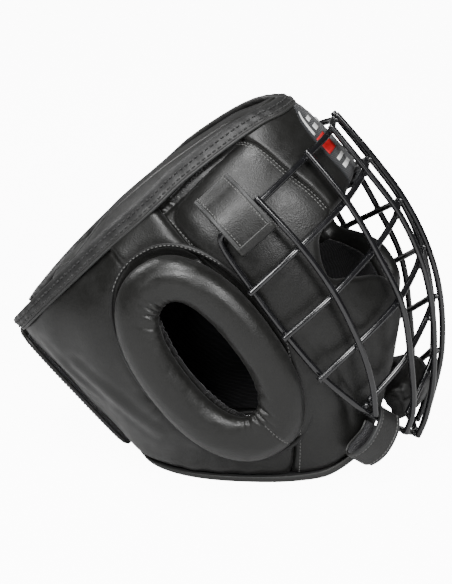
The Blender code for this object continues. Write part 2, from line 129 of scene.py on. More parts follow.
# The straps: where the bar is, its direction and the outward one, then paths of (down, out).
STRAP_THICK = 2.0
STRAPS = {
    "upper": {
        "bar": (87.2, 73.2, 72.7), "along": (-0.301, 0.947, 0.108), "out": (0.87, 0.24, 0.43),
        "width": 31.0,
        "loop": [(-31, -7.3), (-20, -7.4), (-8, -7.4), (6, -7.6), (14, -7.2), (19.5, -4.5),
                 (19.5, -1.0), (16, 1.0)],
        "flap": [(15.4, 1.1), (9, 3.6), (0, 5.8), (-9, 6.2), (-18, 4.0), (-26, -0.8), (-31, -4.2)],
        "hook": [(-18.2, 2.0), (-25.15, -2.15), (-30.1, -5.5)],
    },
    "lower": {
        "bar": (55.8, 66.3, -117.8), "along": (-0.549, 0.137, -0.824), "out": (0.832, 0.0, -0.554),
        "width": 24.0,
        "loop": [(-8, -1.0), (-14, 4.0), (-21, 6.3), (-27, 8.3), (-31, 11.5), (-31.3, 15.2),
                 (-27.9, 17.5)],
        "flap": [(-27.2, 17.9), (-20, 18.6), (-12, 17), (-5, 13), (1, 8), (5, 2), (6.5, -4)],
        "hook": [(-12.6, 15.4), (-9.3, 13.7), (-5.9, 11.6)],
    },
}
# Stitches: spacing, length and thread radius.
BAND_STITCH = (4.6, 3.3, 0.72)
SEAM_STITCH = (3.0, 2.1, 0.36)
FRONT_STITCH = (2.9, 2.0, 0.36)
TEMPLE_STITCH = (2.7, 2.8, 0.52)
ZIGZAG = 0.75
FLANGE_STITCH = (3.2, 1.9, 0.34)
RING_STITCH = (3.0, 1.8, 0.34)
STRAP_STITCH = (2.9, 2.0, 0.34)
CLOSURE_STITCH = (3.2, 2.3, 0.36)
# The rear closure: its flap from t to t, and its low and high ends as s.
FLAP_RANGE = (163.0, 195.0)
FLAP_LOW = -44.0
FLAP_HIGH = 80.0
SIDES = ((-1, "right"), (1, "left"))

# Filling of the simulated pads: the grid and the pressure, the frames run, and how far in mm a
# point may move.
VOXEL = 0.004
PRESSURE = 4
CLOTH_FRAMES = 20
RING_FILLING = 2.0
CHIN_FILLING = 3.0

# The camera: lens and sensor in mm, place in metres, and the directions of its picture's axes.
LENS = 86.3
SENSOR = 36.0
CAMERA_PLACE = (-1.0, -0.133, 0.4833)
CAMERA_RIGHT = (0.11494, -0.99201, -0.05199)
CAMERA_UP = (0.33649, -0.01036, 0.94162)

# Studio: how bright the floor looks, the light from all round, and the soft boxes as name, place,
# aim, size in metres and power in watts.
FLOOR_GLOW = 11.0
WORLD_LIGHT = 0.07
LIGHTS = (
    ("key", (-1.20, 0.30, 1.15), (0, 0, 0.15), 0.50, 22),
    ("side", (-1.15, -0.80, 0.95), (0, -0.02, 0.17), 0.45, 18),
    ("rear", (0.9, 1.3, 1.3), (0, 0, 0.15), 0.6, 12),
    ("top", (-0.45, 0.25, 1.75), (0, 0, 0.2), 0.5, 22),
)


# ---- curves and the shell ----

def smooth_stations(stations):
    """A smooth curve through the stations (x, y), level beyond its ends, as a function."""
    x, y = np.array(stations, float).T
    k = np.arange(len(x))
    before, after = np.maximum(k - 1, 0), np.minimum(k + 1, len(x) - 1)
    lean = (y[after] - y[before]) / (x[after] - x[before])
    at = np.linspace(x[0], x[-1], 500)
    i = np.clip(np.searchsorted(x, at, "right") - 1, 0, len(x) - 2)
    width = np.diff(x)[i]
    slope = np.diff(y)[i] / width
    # The curve leans at most three times as steeply as its chord, so that it never overshoots.
    m0, m1 = (slope * np.clip(lean[j] / np.where(slope == 0, 1, slope), 0, 3) for j in (i, i + 1))
    u = (at - x[i]) / width
    values = ((2 * u ** 3 - 3 * u ** 2 + 1) * y[i] + (u ** 3 - 2 * u ** 2 + u) * width * m0
              + (3 * u ** 2 - 2 * u ** 3) * y[i + 1] + (u ** 3 - u ** 2) * width * m1)
    return lambda q: np.interp(q, at, values)


half_width_at, front_at, back_at = map(smooth_stations, (HALF_WIDTH, FRONT, BACK))
top_edge, jaw_line, side_front = map(smooth_stations, (TOP_EDGE, JAW_EDGE, SIDE_FRONT))
temple_front, cheek_front, brow_edge, patch_top = map(
    smooth_stations, (TEMPLE_FRONT, CHEEK_FRONT, BROW_EDGE, PATCH_TOP))


def smooth_path(points, steps=8):
    """Points on a smooth curve through the given ones."""
    p = np.array(points, float)
    out = []
    for i in range(len(p) - 1):
        a, b = p[max(i - 1, 0)], p[i]
        c, d = p[i + 1], p[min(i + 2, len(p) - 1)]
        for k in range(steps):
            u = k / steps
            out.append(0.5 * (2 * b + (c - a) * u + (2 * a - 5 * b + 4 * c - d) * u ** 2
                              + (3 * b - a - 3 * c + d) * u ** 3))
    out.append(p[-1])
    return np.array(out)


def unit(vectors):
    return vectors / np.linalg.norm(vectors, axis=-1, keepdims=True)


def world(x, f, s):
    z = f * math.sin(TILT) + s * math.cos(TILT) + EAR_HEIGHT
    y = s * math.sin(TILT) - f * math.cos(TILT) + EAR_SETBACK
    return np.stack(np.broadcast_arrays(x, y, np.maximum(z, 0.0)), -1) / 1000.0


def side_world(side, points):
    """Points (x, f, s) of the left half, or their mirror image for side -1."""
    return world(*(points * (side, 1, 1)).T)


def signed_power(v):
    return np.sign(v) * np.abs(v) ** (2 / ROUNDNESS)


def shell(t, s, depth=0.0):
    """x, f and s of points of the shell, depth mm below its outer face."""
    front, back = front_at(s), back_at(s)
    a = np.radians(t)
    x = (half_width_at(s) - depth) * signed_power(np.sin(a))
    f = (front + back) / 2 + ((front - back) / 2 - depth) * signed_power(np.cos(a))
    return x, f, s + 0 * x


def shell_world(side, t, s, depth=0.0):
    x, f, s = shell(t, s, depth)
    return world(side * x, f, s)


def shell_x(f, s):
    front, back = front_at(s), back_at(s)
    ratio = np.minimum(np.abs(f - (front + back) / 2) / ((front - back) / 2), 1.0)
    return half_width_at(s) * (1 - ratio ** ROUNDNESS) ** (1 / ROUNDNESS)


def jaw_edge(t, depth=0.0):
    s = jaw_line(t)
    for _ in range(6):
        f = shell(t, s, depth)[1]
        floor = (-EAR_HEIGHT - f * math.sin(TILT)) / math.cos(TILT)
        s = (jaw_line(t) + floor + np.hypot(jaw_line(t) - floor, JAW_EASE)) / 2
    return s


def grid(u0, u1, nu, v0, v1, nv):
    return np.meshgrid(np.linspace(u0, u1, nu + 1), np.linspace(v0, v1, nv + 1), indexing="ij")


def settled(u, v, start, front, rear, low, high):
    """t and s over a patch whose front and rear depend on s, and its low and high edges on t."""
    t, s = np.full_like(u, start), np.zeros_like(u)
    for _ in range(16):
        s = low(t) + (high(t) - low(t)) * v
        t = front(s) + (rear(s) - front(s)) * u
    return t, s


def panel_grid(front, rear, low, high, nu, nv):
    """t, s and the share of the height over a panel on one side."""
    u, v = grid(0, 1, nu, 0, 1, nv)
    return *settled(u, v, 60.0, front, rear, low, high), v


# ---- height fields ----

def step(x, a, b):
    """0 below a, 1 above b, smooth between."""
    u = np.clip((x - a) / (b - a), 0, 1)
    return u * u * (3 - 2 * u)


def crown_edge(d, radius):
    """Quarter round: 0 at the edge, 1 from radius mm inwards."""
    return np.sqrt(1 - (1 - np.clip(d / radius, 0, 1)) ** 2)


def drop(d, radius):
    """How far a rounded edge has fallen: 1 at the edge, 0 from radius mm inwards."""
    return 1 - crown_edge(d, radius)


def valley(d, width):
    return np.exp(-(d / width) ** 2)


def run(points, axis):
    """Distance in mm along axis from the first and from the last row."""
    d = np.linalg.norm(np.diff(points, axis=axis), axis=-1) * 1000
    start = np.zeros_like(np.take(d, [0], axis))
    c = np.concatenate([start, np.cumsum(d, axis)], axis)
    return c, np.take(c, [-1], axis) - c


def edge_distances(points):
    """Distance in mm from the first and last row and the first and last column."""
    return *run(points, 0), *run(points, 1)


def outward(points, centre=(0.0, 0.0, 0.12)):
    n = np.cross(np.gradient(points, axis=0), np.gradient(points, axis=1))
    n /= np.maximum(np.linalg.norm(n, axis=-1, keepdims=True), 1e-12)
    away = np.sum(n * (points - np.array(centre)), -1).sum()
    return n if away > 0 else -n


def raised(points, height, centre=(0.0, 0.0, 0.12)):
    """The grid with its points moved outwards by their height in mm, and kept off the floor."""
    outer = points + outward(points, centre) * height[..., None] / 1000
    outer[..., 2] = np.maximum(outer[..., 2], 0.0005)
    return outer


def segment_distance(points, a, b):
    """Distance in mm from points to the segment a-b, and the share along it."""
    a, b = np.array(a), np.array(b)
    w = np.clip(((points - a) @ (b - a)) / ((b - a) @ (b - a)), 0, 1)
    return np.linalg.norm(points - (a + w[..., None] * (b - a)), axis=-1) * 1000, w


def ripples(points, seed, size):
    """Soft unevenness of stuffed leather, about -1 to 1, size in mm."""
    rng = np.random.default_rng(seed)
    out = 0
    for _ in range(7):
        k = rng.normal(size=3)
        k *= 2 * math.pi / (size * rng.uniform(0.6, 1.6)) / np.linalg.norm(k)
        out = out + np.sin(points @ k * 1000 + rng.uniform(0, 6.28))
    return out / 3.5


# ---- meshes and pieces ----

pieces = {}


def add_object(name, data):
    obj = bpy.data.objects.new(name, data)
    bpy.context.scene.collection.objects.link(obj)
    return obj


def add_mesh(name, verts, faces, mat, body="shell", nodes=(), fill=None):
    """A piece that rides on body, stands for the CAD nodes and, if padded, has a fill."""
    mesh = bpy.data.meshes.new(name)
    mesh.from_pydata(np.asarray(verts, float).tolist(), [], [list(map(int, q)) for q in faces])
    bm = bmesh.new()
    bm.from_mesh(mesh)
    bmesh.ops.delete(bm, geom=[v for v in bm.verts if not v.link_faces], context="VERTS")
    bmesh.ops.recalc_face_normals(bm, faces=bm.faces)
    bm.to_mesh(mesh)
    bm.free()
    mesh.materials.append(mat)
    mesh.polygons.foreach_set("use_smooth", [True] * len(mesh.polygons))
    obj = add_object(name, mesh)
    pieces[name] = (body, nodes, fill)
    return obj


def add_parts(name, parts, mat, body="shell"):
    """One piece made of loose parts."""
    add_mesh(name, *joined(parts), mat, body)


def closed_grid(outer, inner, keep=None):
    """Vertices and faces of a body between two grids; faces outside keep are left out."""
    nu, nv = outer.shape[0] - 1, outer.shape[1] - 1
    index = np.arange((nu + 1) * (nv + 1)).reshape(nu + 1, nv + 1)
    i, j = np.nonzero(np.ones((nu, nv), bool) if keep is None else keep)
    top = np.stack([index[i, j], index[i + 1, j], index[i + 1, j + 1], index[i, j + 1]], 1)
    edges = np.concatenate([top[:, [k, (k + 1) % 4]] for k in range(4)])
    have = set(map(tuple, edges.tolist()))
    count = index.size
    wall = [[q, p, p + count, q + count] for p, q in edges.tolist() if (q, p) not in have]
    faces = top.tolist() + (top[:, ::-1] + count).tolist() + wall
    return np.concatenate([outer.reshape(-1, 3), inner.reshape(-1, 3)]), faces


def loop_faces(n, m, cyclic=False):
    """Faces between n loops of m points each, with flat ends unless cyclic."""
    faces = []
    for i in range(n if cyclic else n - 1):
        j = (i + 1) % n
        faces += [[i * m + k, j * m + k, j * m + (k + 1) % m, i * m + (k + 1) % m]
                  for k in range(m)]
    return faces if cyclic else faces + [list(range(m)), list(range((n - 1) * m, n * m))]


def tube(path, radius, sides, cyclic=False):
    """Vertices and faces of a round tube along path, in metres."""
    ahead = np.roll(path, -1, 0) - np.roll(path, 1, 0) if cyclic else np.gradient(path, axis=0)
    a = math.tau * np.arange(sides)[:, None] / sides
    up = np.array([0.31, 0.52, 0.80])
    verts = []
    for point, tangent in zip(path, unit(ahead)):
        up = unit(up - tangent * (up @ tangent))
        verts.extend(point + radius * (np.cos(a) * up + np.sin(a) * np.cross(tangent, up)))
    return verts, loop_faces(len(path), sides, cyclic)


def joined(parts):
    verts, faces = [], []
    for v, f in parts:
        start = len(verts)
        verts.extend(v)
        faces.extend([[i + start for i in q] for q in f])
    return verts, faces


def resample(path, pitch):
    d = np.concatenate([[0], np.cumsum(np.linalg.norm(np.diff(path[:, :3], axis=0), axis=1))])
    at = np.arange(pitch / 2, d[-1], pitch)
    return np.stack([np.interp(at, d, path[:, k]) for k in range(path.shape[1])], 1)


def thread_run(path, normal, pitch, length, radius, slant=0.0):
    """A row of sewn stitches along path (metres), standing slightly proud of the leather."""
    both = resample(np.hstack([path, normal]), pitch / 1000)
    q = math.tau * np.arange(6)[:, None] / 6
    parts = []
    for i in range(len(both)):
        c, n = both[i, :3], unit(both[i, 3:])
        d = unit(both[min(i + 1, len(both) - 1), :3] - both[max(i - 1, 0), :3])
        lean = slant * (1 if i % 2 else -1)
        d = d * math.cos(lean) + np.cross(n, d) * math.sin(lean)
        w = np.cross(n, d)
        rings = []
        for along, size, lift in ((-0.5, 0.45, -0.3), (-0.28, 1.0, 0.45), (0.28, 1.0, 0.45),
                                  (0.5, 0.45, -0.3)):
            base = c + d * along * length / 1000 + n * lift * radius / 1000
            rings.extend(base + (n * np.sin(q) + w * np.cos(q)) * size * radius / 1000)
        parts.append((rings, loop_faces(4, 6)))
    return joined(parts)


def corner_points(mesh):
    points = np.empty(len(mesh.vertices) * 3)
    mesh.vertices.foreach_get("co", points)
    return points.reshape(-1, 3)


def move_points(mesh, points):
    mesh.vertices.foreach_set("co", points.ravel())
    mesh.update()


def swell(obj, cap, levels):
    """Fills a closed pad: cloth under pressure without gravity, no point moving over cap mm."""
    def evaluated():
        graph = bpy.context.evaluated_depsgraph_get()
        return bpy.data.meshes.new_from_object(obj.evaluated_get(graph))

    even = obj.modifiers.new("even", "REMESH")
    even.mode = "VOXEL"
    even.voxel_size = VOXEL
    obj.data = evaluated()
    obj.modifiers.clear()
    rest = corner_points(obj.data)
    cloth = obj.modifiers.new("fill", "CLOTH")
    cloth.settings.use_pressure = True
    cloth.settings.uniform_pressure_force = PRESSURE
    cloth.settings.effector_weights.gravity = 0
    for moment in range(1, CLOTH_FRAMES + 1):
        bpy.context.scene.frame_set(moment)
    shift = corner_points(evaluated()) - rest
    bpy.context.scene.frame_set(1)
    obj.modifiers.clear()
    far = np.linalg.norm(shift, axis=1, keepdims=True)
    shift *= np.minimum(1, cap / 1000 / np.maximum(far, 1e-9))
    move_points(obj.data, rest + shift)
    smooth = obj.modifiers.new("smooth", "SUBSURF")
    smooth.levels = levels
    obj.data = evaluated()
    obj.modifiers.clear()
    obj.data.polygons.foreach_set("use_smooth", [True] * len(obj.data.polygons))


def trees(*objs):
    out = []
    for o in objs:
        o.data.update()
        out.append(BVHTree.FromPolygons([v.co[:] for v in o.data.vertices],
                                        [p.vertices[:] for p in o.data.polygons]))
    return out


def trace(bvhs, origin, target):
    """Where rays from origin to target meet the first of the surfaces, and the normals there."""
    points, normals = [], []
    for o, q in zip(origin, target):
        ray = Vector(q - o)
        best = None
        for tree in bvhs:
            hit, normal, _, distance = tree.ray_cast(Vector(o), ray.normalized(), 0.06)
            if hit is not None and (best is None or distance < best[0]):
                best = (distance, hit, normal)
        if best:
            n = best[2] if best[2].dot(ray) < 0 else -best[2]
            points.append(best[1][:])
            normals.append(n[:])
    return np.array(points), np.array(normals)


def on_shell(bvhs, side, t, s):
    """The line (t, s) laid on the surfaces from outside."""
    return trace(bvhs, shell_world(side, t, s, -24.0), shell_world(side, t, s, 6.0))


def line(points, count=160):
    """t and s along a smooth line through the points."""
    p = smooth_path(points, 12)
    at = np.linspace(0, len(p) - 1, count)
    return tuple(np.interp(at, np.arange(len(p)), p[:, k]) for k in (0, 1))


# ---- materials ----

def fed(tree, n, **values):
    """The node with its inputs, or else its settings, set to the values or linked to them."""
    for key, value in values.items():
        socket = key.replace("_", " ")
        if hasattr(value, "node"):
            tree.links.new(value, n.inputs[socket])
        elif socket in n.inputs:
            n.inputs[socket].default_value = value
        else:
            setattr(n, key, value)
    return n


def node(tree, kind, **values):
    return fed(tree, tree.nodes.new(kind), **values)


def new_material(name, colour, roughness, specular=0.5, sheen=0.0, coat=0.0):
    """A material with its node tree, its shader and its object coordinates."""
    mat = bpy.data.materials.new(name)
    mat.use_nodes = True
    tree = mat.node_tree
    shader = fed(tree, tree.nodes["Principled BSDF"], Base_Color=(*colour, 1),
                 Roughness=roughness, Specular_IOR_Level=specular, Sheen_Weight=sheen,
                 Sheen_Roughness=0.5, Coat_Weight=coat, Coat_Roughness=0.12)
    return mat, tree, shader, node(tree, "ShaderNodeTexCoord").outputs["Object"]


def noise(tree, coord, scale, detail=3.0, rough=0.55):
    return node(tree, "ShaderNodeTexNoise", Scale=scale, Detail=detail, Roughness=rough,
                Vector=coord).outputs["Fac"]


def cells(tree, coord, scale):
    return node(tree, "ShaderNodeTexVoronoi", Scale=scale, Vector=coord).outputs["Distance"]


def wavy(tree, coord, direction, scale, distortion=0.0):
    return node(tree, "ShaderNodeTexWave", bands_direction=direction, Scale=scale,
                Distortion=distortion, Vector=coord).outputs["Fac"]


def spread(tree, value, low, high, start=0.3, end=0.7):
    return node(tree, "ShaderNodeMapRange", From_Min=start, From_Max=end, To_Min=low,
                To_Max=high, Value=value).outputs["Result"]


def mixed(tree, factor, a, b):
    n = node(tree, "ShaderNodeMix", data_type="RGBA", Factor=factor)
    sockets = [i for i in n.inputs if i.type == "RGBA"]
    for socket, value in zip(sockets, (a, b)):
        if hasattr(value, "node"):
            tree.links.new(value, socket)
        else:
            socket.default_value = (*value, 1)
    return [o for o in n.outputs if o.type == "RGBA"][0]


def bump(tree, shader, *layers):
    """Chains bump layers (height, strength, distance in metres)."""
    values = {}
    for height, strength, distance in layers:
        n = node(tree, "ShaderNodeBump", Strength=strength, Distance=distance, Height=height,
                 **values)
        values = {"Normal": n.outputs["Normal"]}
    fed(tree, shader, **values)


def leather(name, colour, worn, roughness, grain=0.35):
    mat, tree, shader, coord = new_material(name, colour, roughness, 0.45, 0.04)
    pores = cells(tree, coord, 900.0)
    fine = noise(tree, coord, 1500, 4)
    broad = noise(tree, coord, 28, 4)
    crease = noise(tree, coord, 120, 5, 0.62)
    edge = spread(tree, node(tree, "ShaderNodeNewGeometry").outputs["Pointiness"],
                  0.0, 0.55, 0.52, 0.62)
    base = mixed(tree, spread(tree, broad, 0, 1), colour, tuple(c * 1.35 for c in colour))
    fed(tree, shader, Base_Color=mixed(tree, edge, base, worn),
        Roughness=spread(tree, crease, roughness - 0.06, roughness + 0.08))
    bump(tree, shader, (broad, 0.12, 0.003), (crease, 0.10, 0.0008), (pores, grain, 0.00025),
         (fine, grain * 0.6, 0.00012))
    return mat


def woven(name, colour, light, scale):
    mat, tree, shader, coord = new_material(name, colour, 0.8, 0.25, 0.15)
    threads = wavy(tree, coord, "X", scale), wavy(tree, coord, "Z", scale)
    weave = node(tree, "ShaderNodeMath", operation="MULTIPLY")
    for thread_set, socket in zip(threads, weave.inputs):
        tree.links.new(thread_set, socket)
    fuzz = noise(tree, coord, 900, 3)
    weave = weave.outputs[0]
    fed(tree, shader, Base_Color=mixed(tree, weave, colour, light))
    bump(tree, shader, (weave, 0.6, 0.0004), (fuzz, 0.3, 0.0002))
    return mat


def fuzzy(name, colour, light, scale):
    mat, tree, shader, coord = new_material(name, colour, 0.92, 0.15, 0.35)
    tuft = cells(tree, coord, scale)
    hair = noise(tree, coord, scale * 2.2, 5, 0.7)
    fed(tree, shader, Base_Color=mixed(tree, spread(tree, hair, 0, 1), colour, light))
    bump(tree, shader, (tuft, 0.9, 0.0008), (hair, 0.8, 0.0005))
    return mat


def enamel(name):
    mat, tree, shader, coord = new_material(name, (0.007, 0.007, 0.008), 0.16, 0.6, 0.0, 0.4)
    orange = noise(tree, coord, 420, 2)
    rub = noise(tree, coord, 60, 5)
    fed(tree, shader, Roughness=spread(tree, rub, 0.12, 0.26),
        Base_Color=mixed(tree, spread(tree, rub, 0, 1, 0.55, 0.8), (0.006, 0.006, 0.007),
                         (0.016, 0.016, 0.018)))
    bump(tree, shader, (orange, 0.08, 0.0004))
    return mat


def thread(name, colour, light):
    mat, tree, shader, coord = new_material(name, colour, 0.6, 0.4, 0.1)
    twist = wavy(tree, coord, "DIAGONAL", 900.0, 1.5)
    fed(tree, shader, Base_Color=mixed(tree, twist, colour, light))
    bump(tree, shader, (twist, 0.5, 0.0002))
    return mat


def printed(name, colour):
    mat, tree, shader, coord = new_material(name, colour, 0.55, 0.3)
    worn = spread(tree, noise(tree, coord, 300), 0, 1)
    fed(tree, shader, Base_Color=mixed(tree, worn, colour, tuple(c * 0.8 for c in colour)))
    bump(tree, shader, (wavy(tree, coord, "X", 320.0), 0.25, 0.0002))
    return mat


pad_leather = leather("pad_leather", (0.0056, 0.0056, 0.0051), (0.036, 0.035, 0.033), 0.38)
soft_leather = leather("soft_leather", (0.0064, 0.0064, 0.0058), (0.036, 0.036, 0.033), 0.38)
band_leather = leather("band_leather", (0.010, 0.010, 0.0100), (0.06, 0.06, 0.057), 0.48, 0.5)
strap_leather = leather("strap_leather", (0.0075, 0.0075, 0.0070), (0.05, 0.05, 0.047), 0.40)
# Painted shade: a much darker copy of the leather for the ear pads' piping, so that the groove round
# each ear pad reads dark as if in its shadow.
groove_shade_leather = leather("groove_shade_leather", (0.0030, 0.0030, 0.0030), (0.018, 0.018, 0.017), 0.50)
trim_leather = leather("trim_leather", (0.022, 0.0225, 0.0225), (0.08, 0.08, 0.078), 0.46)
inner_cloth = woven("inner_cloth", (0.010, 0.010, 0.011), (0.026, 0.026, 0.028), 260.0)
brow_cloth = woven("brow_cloth", (0.012, 0.0125, 0.014), (0.032, 0.034, 0.038), 300.0)
hooks = fuzzy("hook_side", (0.004, 0.004, 0.005), (0.03, 0.03, 0.034), 1100.0)
loops = fuzzy("loop_side", (0.006, 0.006, 0.007), (0.045, 0.045, 0.05), 700.0)
wire_enamel = enamel("wire_enamel")
dark_thread = thread("dark_thread", (0.006, 0.006, 0.006), (0.030, 0.030, 0.030))
steel_thread = thread("steel_thread", (0.018, 0.018, 0.019), (0.070, 0.070, 0.072))
grey_thread = thread("grey_thread", (0.060, 0.060, 0.058), (0.20, 0.20, 0.195))
white_print = printed("white_print", (0.75, 0.75, 0.74))
red_print = printed("red_print", (0.55, 0.010, 0.014))


# ---- the padded shell ----

def foam_share(v):
    """How full the foam is, thinning out towards v = 1."""
    return step(1 - v, 0, 0.35)


def ear_share(f, s, ellipse):
    cf, cs, half_f, half_s = ellipse
    return np.hypot((f - cf) / half_f, (s - cs) / half_s)


def soft_corner(d1, d2, radius):
    """Distance to two edges whose corner is rounded."""
    a, b = np.maximum(radius - d1, 0), np.maximum(radius - d2, 0)
    return radius - np.minimum((a ** 2.4 + b ** 2.4) ** (1 / 2.4), radius)


def lining(name, outer, inner, replaced, keep=None):
    add_mesh(name, *closed_grid(outer, inner, keep), inner_cloth, nodes=(replaced,), fill=0.3)


def side_pad(side, tag):
    t, s, v = panel_grid(lambda s: side_front(s) - 0.05, lambda s: SIDE_REAR + 0 * s,
                         lambda t: jaw_edge(t) + 3.5, lambda t: top_edge(t) - 6.5, 110, 128)
    x, f, _ = shell(t, s)
    p = world(side * x, f, s)
    front, rear, low, high = edge_distances(p)
    height = -5.5 * drop(front, 8) - 2.5 * drop(rear, 6)
    height -= 5.0 * drop(low, 13) + 3.0 * drop(high, 7)
    height += 1.2 * ripples(p, 3, 55) * crown_edge(low, 20)
    # The dart below the top band: the leather in front of it stands over the fold.
    top, bottom = (97.4, 110.0), (96.0, 82.0)
    d, w = segment_distance(p, shell_world(side, *top), shell_world(side, *bottom))
    ahead = t < top[0] + (bottom[0] - top[0]) * w
    height += np.where(ahead, 3.2, -1.2) * np.exp(-d / 9) * (1 - w ** 2)
    height -= 2.0 * valley(d, 1.6) * (1 - w ** 2)
    # The seat of the ear pad, with the leather gathered along its lower rear edge.
    out = (ear_share(f, s, EAR_PAD) - 1.02) * 68
    angle = np.arctan2(s - EAR_PAD[1], f - EAR_PAD[0])
    gather = step(-np.cos(angle - math.radians(55)), 0.1, 0.75)
    folds = np.sin(angle * 34 + 1.3 * np.sin(angle * 9)) * 0.6 + np.sin(angle * 13 + 2)
    height -= 7.5 * drop(np.maximum(out + 0.9 * gather * folds, 0), 11)
    height += gather * folds * 0.85 * np.exp(-np.maximum(out - 6, 0) / 9) * (out > 0)
    # Soft standing folds behind the ear pad.
    for a, b, size in (((140, 40), (128, -30), 1.0), ((150, 62), (147, 8), 0.8),
                       ((122, -64), (136, -88), 0.9), ((104, -92), (112, -112), 0.8)):
        d, w = segment_distance(p, shell_world(side, *a), shell_world(side, *b))
        height += size * valley(d, 7) * np.sin(np.pi * w) - size * 0.7 * valley(d - 9, 5)
    outer = raised(p, height)
    depth = COVER + GAP + EDGE_FOAM + (SIDE_FOAM - EDGE_FOAM) * foam_share(v)
    hole = ear_share(f, s, PANEL_HOLE)
    keep = hole[:-1, :-1] + hole[1:, :-1] + hole[:-1, 1:] + hole[1:, 1:] > 4.0

    def snapped(points):
        """Points just inside the ear hole are moved onto its edge."""
        scale = 1 / np.maximum(hole, 0.4)
        nf = PANEL_HOLE[0] + (f - PANEL_HOLE[0]) * scale
        ns = PANEL_HOLE[1] + (s - PANEL_HOLE[1]) * scale
        moved = points + world(0 * nf, nf, ns) - world(0 * nf, f, s)
        return np.where(hole[..., None] < 1, moved, points)

    def layer(d):
        return snapped(shell_world(side, t, s, d))

    pad = add_mesh(f"side_{tag}_pad", *closed_grid(snapped(outer), layer(depth), keep),
                   pad_leather, nodes=(f"side_{tag}_cover", f"side_{tag}_foam"), fill=0.7)
    quilt = 0.5 * np.sin(front / 9) * np.sin(low / 9)
    lining(f"side_{tag}_inner", layer(depth + GAP), layer(depth + QUILT_DEPTH + quilt),
           f"side_{tag}_lining", keep)
    return pad


def face_pad(side, tag):
    """Temple and cheek, one continuous pad from the jaw to the top band."""
    t, s, _ = panel_grid(lambda s: np.where(s > 0, temple_front(s), cheek_front(s)) - 0.05,
                         lambda s: side_front(s) + 0.05,
                         lambda t: jaw_edge(t) + 3.5, lambda t: top_edge(t) - 6.5, 84, 170)
    p = shell_world(side, t, s)
    front, rear, low, _ = edge_distances(p)
    seam = step(s, 31, 39)
    round_h, round_r = 8.5 + (1.6 - 8.5) * seam, 10 + (3.5 - 10) * seam
    height = -round_h * drop(front, round_r)
    below = patch_top(t) - s
    patch = step(below, -0.4, 0.4)
    fat = soft_corner(np.maximum(below - 2.5, 0), np.maximum(rear - 3.0, 0), 15)
    upper = step(s, 5, 40)
    height -= (1 - upper) * 6.0 * drop(rear, 9)
    height -= upper * (1.2 + 6.5 * drop(fat, 15))
    height += upper * (1.1 * patch + 0.9 * (1 - patch))
    height -= 1.5 * valley(below, 1.3) * upper
    height -= 5.5 * drop(low, 13)
    # Sewn channels down the cheek.
    channel = step(-s, 0, 55) * step(s, -128, -95)
    for angle, deep in ((64.0, 2.2), (47.0, 1.8)):
        height -= deep * channel * valley((t - angle - (s + 60) * 0.06) * 1.7, 4.2)
    height += 0.7 * ripples(p, 8, 60) * crown_edge(front, 14) * crown_edge(rear, 14)
    # Small puckers where the sewn band meets the pad behind the temple.
    height += (1 - patch) * upper * 0.5 * np.sin(front * 0.9) * step(t, 62, 74)
    outer = raised(p, height)
    taper = foam_share(np.clip(s / 118, 0, 1))
    depth = COVER + GAP + EDGE_FOAM + (FACE_FOAM - EDGE_FOAM) * taper
    ease = 5.0 * drop(front, 7) * (1 - seam)
    inner = shell_world(side, t, s, depth - ease)
    pad = add_mesh(f"face_{tag}_pad", *closed_grid(outer, inner), pad_leather, fill=0.8,
                   nodes=[f"{area}_{tag}_{layer}" for area in ("temple", "cheek")
                          for layer in ("cover", "foam")])
    rows = slice(None), slice(0, 86)
    quilt = 0.5 * np.sin(front / 9) * np.sin(low / 9)
    lining(f"cheek_{tag}_inner", shell_world(side, t, s, depth + GAP)[rows],
           shell_world(side, t, s, depth + QUILT_DEPTH + quilt)[rows], f"cheek_{tag}_lining")
    return pad


def across_grid(reach, low, high, nu, nv):
    """The same over a patch across the front, with u from -1 to 1."""
    u, v = grid(-1, 1, nu, 0, 1, nv)
    return u, v, *settled(np.abs(u), v, 20.0, lambda s: 0 * s, reach, low, high)


def across_world(u, t, s, depth):
    x, f, s = shell(t, s, depth)
    return world(np.copysign(x, u), f, s)


def forehead():
    u, v, t, s = across_grid(lambda s: temple_front(s) + 0.05, brow_edge,
                             lambda t: top_edge(t) - 6.5, 120, 70)
    p = across_world(u, t, s, 0.0)
    left, right, low, high = edge_distances(p)
    height = -2.2 * drop(np.minimum(left, right), 4)
    height -= 9.0 * drop(low, 11) + 2.0 * drop(high, 6)
    height += 0.7 * ripples(p, 5, 50)
    outer = raised(p, height)
    depth = COVER + GAP + EDGE_FOAM + (BROW_FOAM - EDGE_FOAM) * foam_share(v)
    depth = depth - 7.0 * drop(low, 9)
    pad = add_mesh("forehead_pad", *closed_grid(outer, across_world(u, t, s, depth)),
                   pad_leather, nodes=("forehead_cover", "forehead_foam"), fill=0.7)
    lining("forehead_inner", across_world(u, t, s, depth + GAP),
           across_world(u, t, s, depth + QUILT_DEPTH), "forehead_lining")
    return pad


def crown():
    dome = smooth_stations([(-66, 106), (-44, 113), (-22, 119.5), (18, 124.5), (63, 126),
                            (87, 125.5), (106, 121)])
    t, v = grid(4, 128, 109, -1, 1, 89)
    x, f, s = shell(t, top_edge(t) - 4.0, 4.6)
    bulge = np.maximum(1 - v ** 2, 0) ** 0.5
    top = s + np.maximum(dome(f) - s - 1.5, 3.0) * bulge
    p = world(x * v, f, top)
    ends = run(p, 0)
    seam = valley((np.abs(v) - 0.42) * np.maximum(x, 1), 1.6)
    height = 0.6 * ripples(p, 12, 60) - 0.8 * seam - 2.5 * drop(ends[1], 9)
    height = height - 1.5 * drop(ends[0], 8)
    n = outward(p)
    outer = p + n * height[..., None] / 1000
    inner = p - n * (9.0 + 4 * np.minimum(bulge * 1.3, 1.0))[..., None] / 1000
    add_mesh("crown_pad", *closed_grid(outer, inner), soft_leather, fill=0.6,
             nodes=("crown_cover", "crown_foam"))


